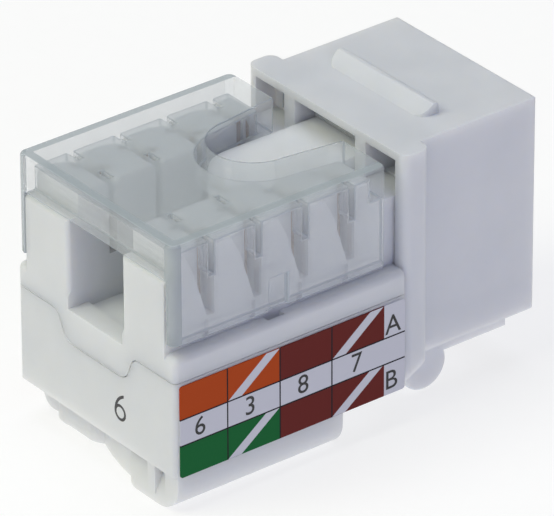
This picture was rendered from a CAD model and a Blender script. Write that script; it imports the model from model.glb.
import math

import bmesh
import bpy
from mathutils import Matrix, Vector


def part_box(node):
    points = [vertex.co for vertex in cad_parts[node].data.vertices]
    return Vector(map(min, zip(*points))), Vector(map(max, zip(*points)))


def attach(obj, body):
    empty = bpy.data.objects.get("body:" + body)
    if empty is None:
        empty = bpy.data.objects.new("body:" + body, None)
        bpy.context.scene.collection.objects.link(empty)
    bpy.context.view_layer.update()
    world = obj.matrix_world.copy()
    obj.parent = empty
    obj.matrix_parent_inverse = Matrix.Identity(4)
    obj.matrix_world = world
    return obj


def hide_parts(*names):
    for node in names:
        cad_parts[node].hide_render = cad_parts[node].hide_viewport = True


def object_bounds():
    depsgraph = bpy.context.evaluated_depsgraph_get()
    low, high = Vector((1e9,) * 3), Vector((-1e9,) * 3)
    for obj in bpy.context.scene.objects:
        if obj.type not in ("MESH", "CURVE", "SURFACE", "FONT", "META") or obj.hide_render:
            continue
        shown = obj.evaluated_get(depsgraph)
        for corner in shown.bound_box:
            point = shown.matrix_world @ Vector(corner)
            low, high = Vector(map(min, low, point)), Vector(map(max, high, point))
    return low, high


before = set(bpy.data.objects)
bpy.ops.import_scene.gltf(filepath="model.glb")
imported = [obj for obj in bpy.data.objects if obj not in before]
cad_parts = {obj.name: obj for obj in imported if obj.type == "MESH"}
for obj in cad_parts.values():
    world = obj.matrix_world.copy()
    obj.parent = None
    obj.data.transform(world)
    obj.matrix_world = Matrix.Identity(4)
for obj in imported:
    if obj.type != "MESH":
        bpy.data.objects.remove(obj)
cad_low, cad_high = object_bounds()


# ---- Front housing ---------------------------------------------------------------------------
# The part that snaps into the wall plate, with the plug socket, the flange, the fixed lug and
# the flexible latch. It is one injection moulding in white polycarbonate.

MM = 0.001                      # a millimetre in the frame's metres
FLOW_CLOUD = 4 * MM             # width of the clouds that the melt's flow leaves
SPARK_GRAIN = 0.125 * MM        # width of the spark-eroded mould's grain, coarser than real to show
SPARK_DEPTH = 0.02 * MM
LIGHT_REACH = 2.5 * MM          # how far light travels inside the plastic
GLOSS_SPREAD = 0.05             # how much rougher or smoother the clouds are than the rest
PRINT_INK = "#242326"

# A Mix node has sockets of the same name for numbers, vectors and colours. These are the colours'.
FIRST_COLOUR, SECOND_COLOUR, MIXED_COLOUR = 6, 7, 2

# A moulding's edges: corners sharper than this are eased, in this many steps.
SHARP_CORNER = math.radians(40)
EASE_STEPS = 2
# Points closer than this are one point, and faces that turn less than this are one flat face.
SAME_POINT = 0.0001 * MM
FLAT_TURN = math.radians(1)


def linear(colour):
    """An sRGB hex colour as linear red, green, blue and alpha."""
    channels = [int(colour[start:start + 2], 16) / 255 for start in (1, 3, 5)]
    return tuple(c / 12.92 if c <= 0.04045 else ((c + 0.055) / 1.055) ** 2.4
                 for c in channels) + (1.0,)


def add_node(tree, kind, settings=None, inputs=None):
    """Add a node; an input goes by name or number and is given a value or a node's socket."""
    node = tree.nodes.new(kind)
    for name, value in (settings or {}).items():
        setattr(node, name, value)
    for name, value in (inputs or {}).items():
        if isinstance(value, bpy.types.NodeSocket):
            tree.links.new(value, node.inputs[name])
        else:
            node.inputs[name].default_value = value
    return node


def new_material(name):
    """An empty material: the material, its node tree and its output node."""
    material = bpy.data.materials.new(name)
    material.use_nodes = True
    tree = material.node_tree
    tree.nodes.clear()
    return material, tree, tree.nodes.new("ShaderNodeOutputMaterial")


def moulded_plastic(name, dark, light, roughness, grain, print_place=None):
    """Moulded plastic: faint flow clouds, a fine grain and a soft gloss that light sinks into.

    The print's place, where there is one, is 1 where black ink lies on the plastic.
    """
    material, tree, output = new_material(name)
    place = add_node(tree, "ShaderNodeTexCoord").outputs["Object"]
    clouds = add_node(tree, "ShaderNodeTexNoise",
                      inputs={"Vector": place, "Scale": 1 / FLOW_CLOUD, "Detail": 3.0,
                              "Roughness": 0.55}).outputs["Fac"]
    fine = add_node(tree, "ShaderNodeTexNoise",
                    inputs={"Vector": place, "Scale": 1 / SPARK_GRAIN, "Detail": 2.0,
                            "Roughness": 0.6}).outputs["Fac"]
    colour = add_node(tree, "ShaderNodeMix", {"data_type": "RGBA"},
                      {"Factor": clouds, FIRST_COLOUR: linear(dark), SECOND_COLOUR: linear(light)})
    if print_place:
        colour = add_node(tree, "ShaderNodeMix", {"data_type": "RGBA"},
                          {"Factor": print_place(tree, place),
                           FIRST_COLOUR: colour.outputs[MIXED_COLOUR],
                           SECOND_COLOUR: linear(PRINT_INK)})
    gloss = add_node(tree, "ShaderNodeMapRange",
                     inputs={"Value": clouds, "From Min": 0.3, "From Max": 0.7,
                             "To Min": roughness - GLOSS_SPREAD, "To Max": roughness + GLOSS_SPREAD})
    bump = add_node(tree, "ShaderNodeBump",
                    inputs={"Strength": grain, "Distance": SPARK_DEPTH, "Height": fine})
    shader = add_node(tree, "ShaderNodeBsdfPrincipled",
                      inputs={"Base Color": colour.outputs[MIXED_COLOUR],
                              "Roughness": gloss.outputs["Result"], "IOR": 1.55,
                              "Normal": bump.outputs["Normal"], "Subsurface Weight": 0.6,
                              "Subsurface Scale": LIGHT_REACH,
                              "Subsurface Radius": (1.0, 0.9, 0.75)})
    tree.links.new(shader.outputs["BSDF"], output.inputs["Surface"])
    return material


def eased_moulding(piece_name, node, body, radius, materials):
    """A moulding in the shape of its CAD node, with its sharp edges eased as a mould leaves them.

    The last of the materials goes on the eased edges.
    """
    shape = bmesh.new()
    shape.from_mesh(bpy.data.objects[node].data)
    bmesh.ops.remove_doubles(shape, verts=shape.verts, dist=SAME_POINT)
    bmesh.ops.dissolve_limit(shape, angle_limit=FLAT_TURN, verts=shape.verts, edges=shape.edges)
    mesh = bpy.data.meshes.new(piece_name)
    shape.to_mesh(mesh)
    shape.free()
    mesh.materials.clear()
    for material in materials:
        mesh.materials.append(material)
    for polygon in mesh.polygons:
        polygon.material_index = 0
        polygon.use_smooth = True
    piece = bpy.data.objects.new(piece_name, mesh)
    bpy.context.scene.collection.objects.link(piece)
    ease = piece.modifiers.new("eased_edges", "BEVEL")
    ease.width = radius
    ease.segments = EASE_STEPS
    ease.limit_method = "ANGLE"
    ease.angle_limit = SHARP_CORNER
    ease.use_clamp_overlap = True
    ease.material = len(materials) - 1
    piece.modifiers.new("face_normals", "WEIGHTED_NORMAL")
    shaped = piece.evaluated_get(bpy.context.evaluated_depsgraph_get())
    piece.data = bpy.data.meshes.new_from_object(shaped)
    piece.data.name = piece_name
    piece.modifiers.clear()
    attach(piece, body)
    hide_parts(node)
    return piece


# Polycarbonate from the mould: a bluish white with a satin face.
white_polycarbonate = moulded_plastic("white_moulded_polycarbonate", "#D3D6DC", "#DEE0E5", 0.38, 0.25)
eased_moulding("keystone_front", "front_housing", "root", 0.12 * MM,
               [white_polycarbonate])


# ---- Tower block -----------------------------------------------------------------------------
# The upper moulding with the cable channel and the slotted towers that hold the wires. It is
# injection-moulded in white ABS and stands on the lower cover.

# ABS from the mould: a touch warmer than the polycarbonate, and a little duller.
white_abs = moulded_plastic("white_moulded_abs", "#D4D7DB", "#DFE1E4", 0.42, 0.3)
eased_moulding("tower_block", "idc_block", "root", 0.08 * MM, [white_abs])


# ---- Lower cover -----------------------------------------------------------------------------
# The shell under the board, moulded in the same white ABS and snapped to the tower block along
# the stepped joint on the rear face. A plain figure is printed on its rear face.

SIX_HEIGHT = 2.04 * MM
SIX_MIDDLE = 2.6 * MM           # from the middle of the jack to the right
SIX_FOOT = 4.64 * MM            # above the table
PRINT_DEPTH = 0.2 * MM          # a surface this close to the rear face takes the print

# The figure's own sizes are shares of its height.
SIX_STROKE = 0.105
BOWL_RADIUS = 0.25
BOWL_RISE = 0.3                 # the bowl's centre above the foot
STEM_RADIUS = 0.716
STEM_END = 0.2                  # the stem's end, right of the bowl's centre


def printed_six(tree, place):
    """1 on a figure 6 on the rear face: a round bowl, and a curved stem that rises from its left."""
    figure = add_node(tree, "ShaderNodeMapping",
                      inputs={"Vector": place,
                              "Location": (-SIX_MIDDLE / SIX_HEIGHT, 0, -SIX_FOOT / SIX_HEIGHT),
                              "Scale": (1 / SIX_HEIGHT, 0, 1 / SIX_HEIGHT)}).outputs["Vector"]
    on_figure = add_node(tree, "ShaderNodeSeparateXYZ", inputs={"Vector": figure})
    on_jack = add_node(tree, "ShaderNodeSeparateXYZ", inputs={"Vector": place})

    def round_stroke(across, radius):
        """1 on a stroke that runs in a circle round a point at the height of the bowl's centre."""
        distance = add_node(tree, "ShaderNodeVectorMath", {"operation": "DISTANCE"},
                            {0: figure, 1: (across, 0, BOWL_RISE)})
        return add_node(tree, "ShaderNodeMath", {"operation": "COMPARE"},
                        {0: distance.outputs["Value"], 1: radius, 2: SIX_STROKE / 2})

    bowl = round_stroke(0, BOWL_RADIUS)
    # The stem's circle touches the bowl's on the left, and only its upper left arc is printed.
    stem = round_stroke(STEM_RADIUS - BOWL_RADIUS, STEM_RADIUS)
    for side, value, limit in (("GREATER_THAN", on_figure.outputs["Z"], BOWL_RISE),
                               ("LESS_THAN", on_figure.outputs["X"], STEM_END)):
        within = add_node(tree, "ShaderNodeMath", {"operation": side}, {0: value, 1: limit})
        stem = add_node(tree, "ShaderNodeMath", {"operation": "MULTIPLY"},
                        {0: stem.outputs["Value"], 1: within.outputs["Value"]})
    six = add_node(tree, "ShaderNodeMath", {"operation": "MAXIMUM"},
                   {0: bowl.outputs["Value"], 1: stem.outputs["Value"]})
    on_rear_face = add_node(tree, "ShaderNodeMath", {"operation": "LESS_THAN"},
                            {0: on_jack.outputs["Y"], 1: cad_low[1] + PRINT_DEPTH})
    return add_node(tree, "ShaderNodeMath", {"operation": "MULTIPLY"},
                    {0: six.outputs["Value"], 1: on_rear_face.outputs["Value"]}).outputs["Value"]


# The same ABS as the tower block's, with matt black pad-printed ink.
printed_abs = moulded_plastic("white_moulded_abs_with_print", "#D4D7DB", "#DFE1E4", 0.42, 0.3,
                              printed_six)
eased_moulding("cover_shell", "lower_cover", "root", 0.1 * MM, [printed_abs])


# ---- Circuit board ---------------------------------------------------------------------------
# Glass-fibre laminate under a green solder mask, cut to shape and laid on the lower cover's
# ledges.

WEAVE_PITCH = 0.5 * MM


def solder_mask():
    """Glossy green lacquer over woven glass, which shows through as a faint net."""
    material, tree, output = new_material("green_solder_mask_on_fr4")
    place = add_node(tree, "ShaderNodeTexCoord").outputs["Object"]
    weave = add_node(tree, "ShaderNodeTexBrick",
                     inputs={"Vector": place, "Scale": 1 / WEAVE_PITCH,
                             "Color1": linear("#0F5A2C"), "Color2": linear("#12642F"),
                             "Mortar": linear("#0B4A24"), "Mortar Size": 0.03})
    shader = add_node(tree, "ShaderNodeBsdfPrincipled",
                      inputs={"Base Color": weave.outputs["Color"], "Roughness": 0.3, "IOR": 1.5,
                              "Coat Weight": 0.4, "Coat Roughness": 0.1})
    tree.links.new(shader.outputs["BSDF"], output.inputs["Surface"])
    return material


def dress(node, material):
    """Give a CAD node's own object its material."""
    slots = bpy.data.objects[node].material_slots
    for slot in slots:
        slot.material = material
    if not slots:
        bpy.data.objects[node].data.materials.append(material)


dress("circuit_board", solder_mask())


# ---- Contact comb ----------------------------------------------------------------------------
# The insert at the back of the socket that keeps the spring contacts apart. It is moulded in
# black polyester filled with glass, which gives it a dull, grainy face.

black_polyester = moulded_plastic("black_glass_filled_polyester", "#161719", "#222326", 0.5, 0.5)
dress("contact_comb", black_polyester)


# ---- Spring contacts and wire contacts -------------------------------------------------------
# Eight bent strips touch the plug's blades, and eight forked blades bite into the wires. They
# are stamped from rolled phosphor bronze; the strips are plated with gold, the forks are bare.

LINE_PITCH = MM / 9             # the rolls leave lines along the strips, this far apart
LINE_LENGTH = 5 * MM / 3        # and this long


def rolled_bronze(name, dull, bright, roughness):
    """Stamped strip, plated or bare: a metal sheen broken up by faint lines from the rolls."""
    material, tree, output = new_material(name)
    place = add_node(tree, "ShaderNodeTexCoord").outputs["Object"]
    drawn_out = add_node(tree, "ShaderNodeMapping",
                         inputs={"Vector": place,
                                 "Scale": (1 / LINE_PITCH, 1 / LINE_LENGTH, 1 / LINE_LENGTH)})
    lines = add_node(tree, "ShaderNodeTexNoise",
                     inputs={"Vector": drawn_out.outputs["Vector"], "Scale": 1.0,
                             "Detail": 2.0}).outputs["Fac"]
    colour = add_node(tree, "ShaderNodeMix", {"data_type": "RGBA"},
                      {"Factor": lines, FIRST_COLOUR: linear(dull), SECOND_COLOUR: linear(bright)})
    rough = add_node(tree, "ShaderNodeMapRange",
                     inputs={"Value": lines, "To Min": roughness - 0.06, "To Max": roughness + 0.1})
    shader = add_node(tree, "ShaderNodeBsdfPrincipled",
                      inputs={"Base Color": colour.outputs[MIXED_COLOUR], "Metallic": 1.0,
                              "Roughness": rough.outputs["Result"]})
    tree.links.new(shader.outputs["BSDF"], output.inputs["Surface"])
    return material


# Gold plating is bright and yellow; bare bronze is browner and has gone a little dull.
gold = rolled_bronze("gold_plated_phosphor_bronze", "#C79A3E", "#E6BE62", 0.22)
bronze = rolled_bronze("bare_phosphor_bronze", "#8A6236", "#B58A55", 0.32)
for number in range(1, 9):
    dress("spring_contact_%d" % number, gold)
for side in ("left", "right"):
    for number in range(1, 5):
        dress("idc_contact_%s_%d" % (side, number), bronze)


# ---- Dust cap --------------------------------------------------------------------------------
# The clear lid that snaps over the towers and presses the wires in. It is moulded in uncoloured
# polycarbonate: polished walls and top, a milky underside, and edges that show as grey lines.

CAP_WALL = 0.78 * MM
PLATE_DEPTH = 1.2 * MM          # the plate's two faces lie within this of the cap's top
LEVEL = 0.9                     # a face whose normal rises more than this is level
RIPPLE = 10 * MM / 3            # width and depth of the faint ripples that the mould leaves
RIPPLE_DEPTH = 0.1 * MM
WALL_GREY = "#B4BDC2"           # a wall that one looks down the length of turns grey
WALL_DENSITY = 0.5              # and that much less clear


def clear_polycarbonate(name, tint, density, clearness, roughness, wall_place=None):
    """Clear plastic: part of the light goes straight through, part is bent, the rest is haze.

    The walls' place, where there is one, is 1 where one looks down the length of a wall.
    """
    material, tree, output = new_material(name)
    place = add_node(tree, "ShaderNodeTexCoord").outputs["Object"]
    ripple = add_node(tree, "ShaderNodeTexNoise",
                      inputs={"Vector": place, "Scale": 1 / RIPPLE, "Detail": 1.0})
    bump = add_node(tree, "ShaderNodeBump",
                    inputs={"Strength": 0.06, "Distance": RIPPLE_DEPTH,
                            "Height": ripple.outputs["Fac"]})
    shader = add_node(tree, "ShaderNodeBsdfPrincipled",
                      inputs={"Base Color": linear(tint), "Roughness": roughness, "IOR": 1.58,
                              "Transmission Weight": clearness, "Alpha": density,
                              "Normal": bump.outputs["Normal"]})
    if wall_place:
        walls = wall_place(tree, place)
        colour = add_node(tree, "ShaderNodeMix", {"data_type": "RGBA"},
                          {"Factor": walls, FIRST_COLOUR: linear(tint),
                           SECOND_COLOUR: linear(WALL_GREY)})
        alpha = add_node(tree, "ShaderNodeMath", {"operation": "MULTIPLY_ADD"},
                         {0: walls, 1: WALL_DENSITY, 2: density})
        tree.links.new(colour.outputs[MIXED_COLOUR], shader.inputs["Base Color"])
        tree.links.new(alpha.outputs["Value"], shader.inputs["Alpha"])
    tree.links.new(shader.outputs["BSDF"], output.inputs["Surface"])
    return material


def walls_in_plan(tree, place):
    """1 over a side wall, and 1 over the rear wall."""
    low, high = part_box("dust_cap")
    split = add_node(tree, "ShaderNodeSeparateXYZ", inputs={"Vector": place})
    from_middle = add_node(tree, "ShaderNodeMath", {"operation": "ABSOLUTE"},
                           {0: split.outputs["X"]})
    side = add_node(tree, "ShaderNodeMath", {"operation": "GREATER_THAN"},
                    {0: from_middle.outputs["Value"], 1: high[0] - CAP_WALL})
    rear = add_node(tree, "ShaderNodeMath", {"operation": "LESS_THAN"},
                    {0: split.outputs["Y"], 1: low[1] + CAP_WALL})
    return side.outputs["Value"], rear.outputs["Value"]


def over_the_walls(tree, place):
    """1 on the strip of the top plate that lies over the side and rear walls."""
    side, rear = walls_in_plan(tree, place)
    return add_node(tree, "ShaderNodeMath", {"operation": "MAXIMUM"},
                    {0: side, 1: rear}).outputs["Value"]


def at_the_corners(tree, place):
    """1 on the upright strips where the rear wall meets a side wall."""
    side, rear = walls_in_plan(tree, place)
    return add_node(tree, "ShaderNodeMath", {"operation": "MULTIPLY"},
                    {0: side, 1: rear}).outputs["Value"]


# One plastic with four finishes: clear walls, grey eased edges, a polished top and a milky
# underside of the plate, which the mould's rough core leaves.
clear_walls = clear_polycarbonate("clear_polycarbonate", "#E6EBEF", 0.3, 0.4, 0.05, at_the_corners)
grey_edges = clear_polycarbonate("clear_polycarbonate_edges", "#C0C9CF", 0.8, 0.3, 0.05)
polished_top = clear_polycarbonate("polished_polycarbonate_plate", "#D2D9DD", 0.34, 0.1, 0.05,
                                   over_the_walls)
milky_underside = clear_polycarbonate("milky_polycarbonate", "#DAE0E4", 0.42, 0.0, 0.3)
cap = eased_moulding("clear_cap", "dust_cap", "cap", 0.14 * MM,
                     [clear_walls, grey_edges])
cap.data.materials.append(polished_top)
cap.data.materials.append(milky_underside)
plate_floor = max(corner[2] for corner in cap.bound_box) - PLATE_DEPTH
for polygon in cap.data.polygons:
    if abs(polygon.normal.z) > LEVEL and polygon.center.z > plate_floor:
        polygon.material_index = 2 if polygon.normal.z > 0 else 3


# ---- Wiring labels ---------------------------------------------------------------------------
# A vinyl sticker on each side of the lower cover, screen-printed with the colours of the wires
# for both wiring orders and with the numbers of the socket's contacts between them.

# The print is laid out in millimetres from the label's lower rear corner.
FIELD_EDGES = (3.88, 8.21, 12.53, 16.86)      # front ends of the four fields of a row
STRIPED_FIELDS = ((0, 1), (2, 3))             # these run between the first and second edge, and so on
ROW_EDGES = (2.40, 4.37)                      # lower and upper line of the numbers' row
RULE_WIDTH = 0.11
STRIPE_WIDTH = 1.1
STRIPE_MARGIN = 0.01

# The figures' places are in millimetres from the jack's rear face and above the table.
NUMBER_PLACES = (2.0, 6.1, 10.5, 15.0)
NUMBER_RISE = 6.35
ORDER_LETTERS = (("A", 18.05, 8.2), ("B", 17.95, 4.0))

FIGURE_HEIGHT = 1.38 * MM
INK_RELIEF = 0.01 * MM
LABEL_CORNER = 0.2 * MM
CORNER_STEPS = 4
LETTER_STEPS = 4                # steps in each curve of a figure's outline
INK_SPOT = 0.2 * MM

PAPER, RULE_INK = "#D2D3DC", "#1B1820"
ORANGE, GREEN, BLUE, BROWN = "#B6450A", "#02652F", "#22458C", "#691F1B"


def row_colours(tree, along, length, rear_colour, front_colour):
    """The colours of one row: two fields of each colour, and bare paper before them."""
    ramp = add_node(tree, "ShaderNodeValToRGB", inputs={"Fac": along})
    ramp.color_ramp.interpolation = "CONSTANT"
    rear_fields, front_fields = ramp.color_ramp.elements
    rear_fields.color = linear(rear_colour)
    front_fields.position = FIELD_EDGES[1] / length
    front_fields.color = linear(front_colour)
    paper = ramp.color_ramp.elements.new(FIELD_EDGES[3] / length)
    paper.color = linear(PAPER)
    return ramp.outputs["Color"]


def printed_vinyl(node, upper_colours, lower_colours):
    """White vinyl with matt screen ink: flat fields of colour, white stripes and black rules."""
    low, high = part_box(node)
    length = (high[1] - low[1]) / MM
    height = (high[2] - low[2]) / MM
    material, tree, output = new_material("printed_vinyl_" + node)
    place = add_node(tree, "ShaderNodeTexCoord").outputs["Object"]
    layout = add_node(tree, "ShaderNodeMapping",
                      inputs={"Vector": place, "Location": (0, -low[1] / MM, -low[2] / MM),
                              "Scale": (1 / MM, 1 / MM, 1 / MM)})
    split = add_node(tree, "ShaderNodeSeparateXYZ", inputs={"Vector": layout.outputs["Vector"]})
    along = split.outputs["Y"]
    up = split.outputs["Z"]
    share = add_node(tree, "ShaderNodeMath", {"operation": "DIVIDE"}, {0: along, 1: length})

    def printed(ground, ink, test, value, limit, width=0):
        """The ground's colour, with ink where the value passes the test against the limit."""
        inked = add_node(tree, "ShaderNodeMath", {"operation": test},
                         {0: value, 1: limit, 2: width / 2})
        return add_node(tree, "ShaderNodeMix", {"data_type": "RGBA"},
                        {"Factor": inked.outputs["Value"], FIRST_COLOUR: ground,
                         SECOND_COLOUR: ink}).outputs[MIXED_COLOUR]

    colour = linear(PAPER)
    rows = (("GREATER_THAN", ROW_EDGES[1], height, upper_colours),
            ("LESS_THAN", ROW_EDGES[0], 0, lower_colours))
    for side, edge, rim, pair in rows:
        bottom, top = sorted((edge, rim))
        plain = row_colours(tree, share.outputs["Value"], length, *pair)
        striped = plain
        # A stripe runs from the lower rear to the upper front corner of every second field.
        for first, last in STRIPED_FIELDS:
            width = FIELD_EDGES[last] - FIELD_EDGES[first]
            slant = (width - STRIPE_WIDTH) / (top - bottom)
            start = FIELD_EDGES[first] + STRIPE_WIDTH / 2 - bottom * slant
            centre = add_node(tree, "ShaderNodeMath", {"operation": "MULTIPLY_ADD"},
                              {0: up, 1: slant, 2: start})
            striped = printed(striped, linear(PAPER), "COMPARE", along, centre.outputs["Value"],
                              STRIPE_WIDTH)
        # The fields' ink runs over the sheet's rim, and the stripes end just short of it.
        row_colour = printed(plain, striped, "COMPARE", up, (bottom + top) / 2,
                             top - bottom - 2 * STRIPE_MARGIN)
        colour = printed(colour, row_colour, side, up, edge)
    for value, edges in ((up, ROW_EDGES), (along, FIELD_EDGES[:-1])):
        for edge in edges:
            colour = printed(colour, linear(RULE_INK), "COMPARE", value, edge, RULE_WIDTH)
    # Ink lies a little unevenly on the vinyl, in small spots.
    spots = add_node(tree, "ShaderNodeTexNoise", inputs={"Vector": place, "Scale": 1 / INK_SPOT})
    bump = add_node(tree, "ShaderNodeBump",
                    inputs={"Strength": 0.15, "Distance": INK_RELIEF, "Height": spots.outputs["Fac"]})
    shader = add_node(tree, "ShaderNodeBsdfPrincipled",
                      inputs={"Base Color": colour, "Roughness": 0.6, "IOR": 1.5,
                              "Specular IOR Level": 0.15, "Normal": bump.outputs["Normal"]})
    tree.links.new(shader.outputs["BSDF"], output.inputs["Surface"])
    return material


def figure_mesh(mark):
    """A figure or letter, 1 high and centred: its points, whether each is raised, and its faces."""
    curve = bpy.data.curves.new(mark, "FONT")
    curve.body = mark
    # Any thickness will do here, because only which points are raised is kept.
    curve.extrude = 0.1
    curve.resolution_u = LETTER_STEPS
    writer = bpy.data.objects.new(mark, curve)
    mesh = bpy.data.meshes.new_from_object(writer)
    points = [vertex.co.copy() for vertex in mesh.vertices]
    faces = [tuple(polygon.vertices) for polygon in mesh.polygons]
    bpy.data.objects.remove(writer)
    bpy.data.meshes.remove(mesh)
    bpy.data.curves.remove(curve)
    low_x, high_x = min(point.x for point in points), max(point.x for point in points)
    low_y, high_y = min(point.y for point in points), max(point.y for point in points)
    height = high_y - low_y
    placed = [((point.x - (low_x + high_x) / 2) / height, (point.y - (low_y + high_y) / 2) / height,
               point.z > 0) for point in points]
    return placed, faces


# Screen ink dries to a dull, nearly smooth black.
screen_ink = moulded_plastic("black_screen_ink", "#1A191B", "#232225", 0.5, 0.1)


def vinyl_label(piece_name, node, numbers, upper_colours, lower_colours):
    """A thin sheet with rounded corners, and its figures in raised ink, as one piece."""
    low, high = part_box(node)
    outward = 1 if low.x > 0 else -1
    back = low.x if outward > 0 else high.x
    # The sheet's face lies back a little, so that the raised ink stays inside the CAD label.
    front = (high.x if outward > 0 else low.x) - outward * 2 * INK_RELIEF
    shape = bmesh.new()
    outline = []
    corners = ((high.y, high.z), (low.y, high.z), (low.y, low.z), (high.y, low.z))
    for turn, (y, z) in enumerate(corners):
        centre_y = y - math.copysign(LABEL_CORNER, y - (low.y + high.y) / 2)
        centre_z = z - math.copysign(LABEL_CORNER, z - (low.z + high.z) / 2)
        for step in range(CORNER_STEPS + 1):
            angle = math.radians(90 * (turn + step / CORNER_STEPS))
            outline.append((centre_y + LABEL_CORNER * math.cos(angle),
                            centre_z + LABEL_CORNER * math.sin(angle)))
    if outward < 0:
        outline.reverse()
    rear_ring = [shape.verts.new((back, y, z)) for y, z in outline]
    front_ring = [shape.verts.new((front, y, z)) for y, z in outline]
    shape.faces.new(front_ring)
    shape.faces.new(reversed(rear_ring))
    for index in range(len(outline)):
        after = (index + 1) % len(outline)
        shape.faces.new((rear_ring[index], rear_ring[after], front_ring[after], front_ring[index]))
    marks = [(number, from_rear, NUMBER_RISE) for number, from_rear in zip(numbers, NUMBER_PLACES)]
    for mark, from_rear, above_table in marks + list(ORDER_LETTERS):
        points, faces = figure_mesh(mark)
        inked = [shape.verts.new((front + outward * (INK_RELIEF if raised else -INK_RELIEF),
                                  cad_low[1] + from_rear * MM + outward * across * FIGURE_HEIGHT,
                                  above_table * MM + up * FIGURE_HEIGHT))
                 for across, up, raised in points]
        for face in faces:
            shape.faces.new([inked[corner] for corner in face]).material_index = 1
    mesh = bpy.data.meshes.new(piece_name)
    shape.to_mesh(mesh)
    shape.free()
    mesh.materials.append(printed_vinyl(node, upper_colours, lower_colours))
    mesh.materials.append(screen_ink)
    label = bpy.data.objects.new(piece_name, mesh)
    bpy.context.scene.collection.objects.link(label)
    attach(label, "root")
    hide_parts(node)


vinyl_label("printed_label_right", "wiring_label_right", "6387",
            (ORANGE, BROWN), (GREEN, BROWN))
vinyl_label("printed_label_left", "wiring_label_left", "2145",
            (GREEN, BLUE), (ORANGE, BLUE))


# ---- Stage -----------------------------------------------------------------------------------
# A plain pale table and soft studio light: a warm lamp high behind the jack, a broad one above
# and a cool one to its right.

FLOOR_RADIUS = 3.0
FLOOR_SIDES = 64
FLOOR_DROP = 0.02 * MM          # the floor lies just clear of the jack's underside
FIBRE = 10 * MM / 9             # width of the paper's fibres, coarse enough to show
LAMP_TARGET = (0, 0, 0.01)


def pale_floor():
    """A round sheet of white paper, larger than the view, lit a little from within."""
    mesh = bpy.data.meshes.new("floor")
    shape = bmesh.new()
    bmesh.ops.create_circle(shape, cap_ends=True, radius=FLOOR_RADIUS, segments=FLOOR_SIDES)
    shape.to_mesh(mesh)
    shape.free()
    floor = bpy.data.objects.new("floor", mesh)
    floor.location.z = -FLOOR_DROP
    bpy.context.scene.collection.objects.link(floor)
    material, tree, output = new_material("white_paper_sweep")
    place = add_node(tree, "ShaderNodeTexCoord").outputs["Object"]
    fibres = add_node(tree, "ShaderNodeTexNoise", inputs={"Vector": place, "Scale": 1 / FIBRE})
    colour = add_node(tree, "ShaderNodeMix", {"data_type": "RGBA"},
                      {"Factor": fibres.outputs["Fac"], FIRST_COLOUR: linear("#939393"),
                       SECOND_COLOUR: linear("#979797")})
    shader = add_node(tree, "ShaderNodeBsdfPrincipled",
                      inputs={"Base Color": colour.outputs[MIXED_COLOUR], "Roughness": 0.9,
                              "Emission Color": linear("#FFFFFF"), "Emission Strength": 0.7})
    tree.links.new(shader.outputs["BSDF"], output.inputs["Surface"])
    mesh.materials.append(material)


def soft_lamp(name, place, size, power, colour):
    """A square area lamp that looks at the jack."""
    lamp = bpy.data.lights.new(name, "AREA")
    lamp.size = size
    lamp.energy = power
    lamp.color = colour
    holder = bpy.data.objects.new(name, lamp)
    holder.location = place
    holder.rotation_euler = (Vector(LAMP_TARGET) - Vector(place)).to_track_quat("-Z", "Y").to_euler()
    bpy.context.scene.collection.objects.link(holder)


def studio_light():
    """The lamps, each with its place, size, watts and colour, and the even light of the room."""
    soft_lamp("rear_lamp", (-0.1, -0.45, 0.55), 0.4, 2.6, (1.0, 1.0, 0.77))
    soft_lamp("top_lamp", (-0.1, 0.05, 0.7), 0.6, 2.5, (0.87, 0.9, 1.0))
    soft_lamp("side_lamp", (0.75, -0.25, 0.35), 0.6, 1.35, (0.6, 0.6, 1.0))
    world = bpy.data.worlds.new("room")
    world.use_nodes = True
    background = world.node_tree.nodes["Background"]
    background.inputs["Color"].default_value = (0.9, 0.93, 1.0, 1.0)
    background.inputs["Strength"].default_value = 0.1
    bpy.context.scene.world = world


# Where the camera stands: behind and to the right of the jack, and a little above it.
VIEW_TURN = math.radians(51.996)
VIEW_RISE = math.radians(29.58)
VIEW_ROLL = math.radians(-0.225)
VIEW_DISTANCE = 0.48544
VIEW_TARGET = Vector((-0.000175, -0.000444, 0.010260))
FOCAL_LENGTH = 475.6
SENSOR_WIDTH = 36.0


def camera():
    """The camera, looking at the middle of the jack."""
    back = Vector((math.sin(VIEW_TURN) * math.cos(VIEW_RISE),
                   -math.cos(VIEW_TURN) * math.cos(VIEW_RISE), math.sin(VIEW_RISE)))
    right = (-back).cross(Vector((0, 0, 1))).normalized()
    up = right.cross(-back)
    side = right * math.cos(VIEW_ROLL) + up * math.sin(VIEW_ROLL)
    top = up * math.cos(VIEW_ROLL) - right * math.sin(VIEW_ROLL)
    lens = bpy.data.cameras.new("camera")
    lens.sensor_fit = "HORIZONTAL"
    lens.sensor_width = SENSOR_WIDTH
    lens.lens = FOCAL_LENGTH
    lens.clip_start = 0.01
    lens.clip_end = 20.0
    holder = bpy.data.objects.new("camera", lens)
    turn = Matrix((side, top, back)).transposed().to_4x4()
    holder.matrix_world = Matrix.Translation(VIEW_TARGET + back * VIEW_DISTANCE) @ turn
    bpy.context.scene.collection.objects.link(holder)
    bpy.context.scene.camera = holder


pale_floor()
studio_light()
camera()
bpy.context.scene.view_settings.view_transform = "Standard"
